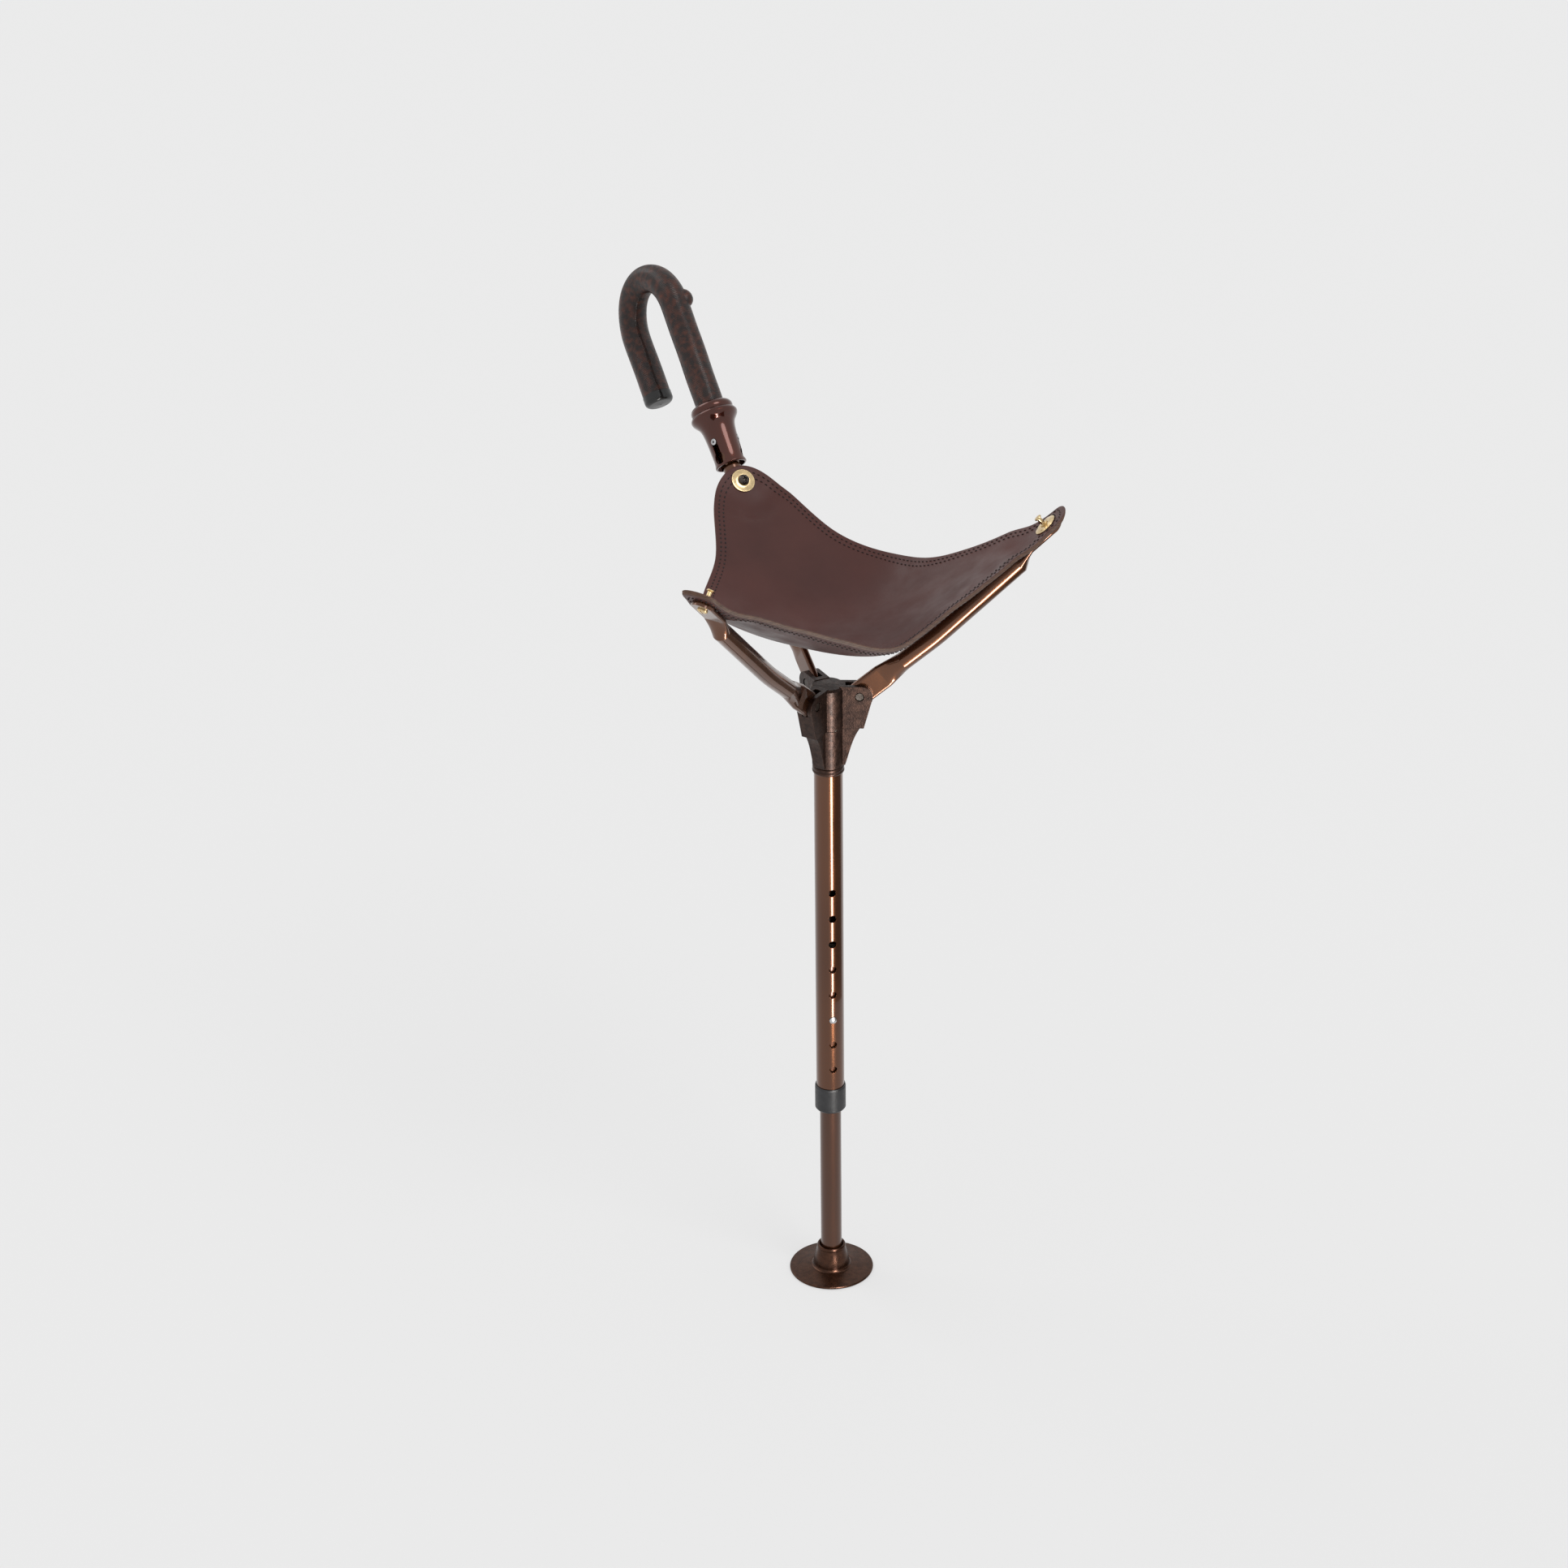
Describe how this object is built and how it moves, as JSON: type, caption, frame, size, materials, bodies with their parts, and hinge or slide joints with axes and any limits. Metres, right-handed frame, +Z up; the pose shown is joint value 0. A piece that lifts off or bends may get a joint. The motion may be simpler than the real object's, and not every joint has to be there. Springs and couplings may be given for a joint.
{
  "type": "walking stick seat",
  "caption": "Walking stick that opens into a slung leather tripod-armed seat on a telescoping leg with a ground spike, foot disc and crook handle.",
  "frame": {"origin": "centre of the foot disc's underside, where the ground spike leaves it", "axes": "+Z up the stick; +X outward along the right seat arm; the handle arm leans out at 120 degrees and the left arm at 240 degrees from +X about +Z"},
  "size_m": [0.3919, 0.4839, 0.8991],
  "materials": {
    "tube_finish": "glossy brown anodised",
    "collar_finish": "glossy reddish brown anodised",
    "hub_finish": "cast, satin dark brown coating",
    "foot_finish": "cast, satin brown coating",
    "black_trim": "satin black",
    "cap_black": "glossy black",
    "bush_plastic": "natural nylon",
    "bare_aluminium": "turned",
    "steel": "zinc plated",
    "spring_steel": "bright spring steel",
    "dark_screw": "blackened",
    "brass": "polished",
    "saddle_leather": "smooth waxed, dark reddish brown",
    "crook_wood": "stained dark and varnished"
  },
  "bodies": {
    "leg": {"foot_plate": "foot_finish", "ground_spike": "steel", "spike_nut": "steel", "inner_tube": "tube_finish", "inner_tube_bush": "bush_plastic", "snap_spring": "spring_steel"},
    "snap_button": {"snap_button": "steel"},
    "pole": {"outer_tube": "tube_finish", "tube_end_ring": "black_trim", "hub_casting": "hub_finish", "hub_trim_ring": "black_trim", "hub_fixing_pin": "steel", "arm_pivot_pins": "steel", "leather_seat": "saddle_leather"},
    "handle_arm": {"handle_arm_tube": "tube_finish", "handle_arm_plug": "bare_aluminium", "collar_guide_pins": "steel", "handle_seat_washer": "brass", "handle_seat_screw": "dark_screw", "handle_spring": "spring_steel"},
    "handle": {"locking_collar": "collar_finish", "crook_handle": "crook_wood", "crook_end_cap": "cap_black", "handle_tang": "steel", "tang_nut": "steel"},
    "right_arm": {"right_arm_tube": "tube_finish", "right_seat_washer": "brass", "right_lock_stud": "brass", "right_stud_screw": "brass"},
    "left_arm": {"left_arm_tube": "tube_finish", "left_seat_washer": "brass", "left_lock_stud": "brass", "left_stud_screw": "brass"}
  },
  "joints": [
    {"name": "button_press", "type": "slide", "parent": "leg", "child": "snap_button", "axis": [-0.2588, 0.9659, 0], "range_m": [0, 0.0034], "stiffness_N_per_m": 1500, "springref_m": -0.003, "deforming": ["snap_spring"]},
    {"name": "pole_height", "type": "slide", "parent": "leg", "child": "pole", "axis": [0, 0, 1], "range_m": [-0.1275, 0.051], "deforming": ["snap_button", "snap_spring"]},
    {"name": "handle_arm_fold", "type": "hinge", "parent": "pole", "child": "handle_arm", "pos_m": [-0.0135, 0.02338, 0.5825], "axis": [0.866, 0.5, 0], "range_deg": [0, 52.1], "deforming": ["leather_seat"]},
    {"name": "handle_lift", "type": "slide", "parent": "handle_arm", "child": "handle", "axis": [-0.3397, 0.5884, 0.7337], "range_m": [0, 0.0072], "stiffness_N_per_m": 1500, "springref_m": -0.012, "deforming": ["handle_spring"]},
    {"name": "right_arm_fold", "type": "hinge", "parent": "pole", "child": "right_arm", "pos_m": [0.027, 0, 0.5825], "axis": [0, -1, 0], "range_deg": [0, 46.5], "deforming": ["leather_seat"]},
    {"name": "left_arm_fold", "type": "hinge", "parent": "pole", "child": "left_arm", "pos_m": [-0.0135, -0.02338, 0.5825], "axis": [-0.866, 0.5, 0], "range_deg": [0, 46.5], "deforming": ["leather_seat"]}
  ]
}
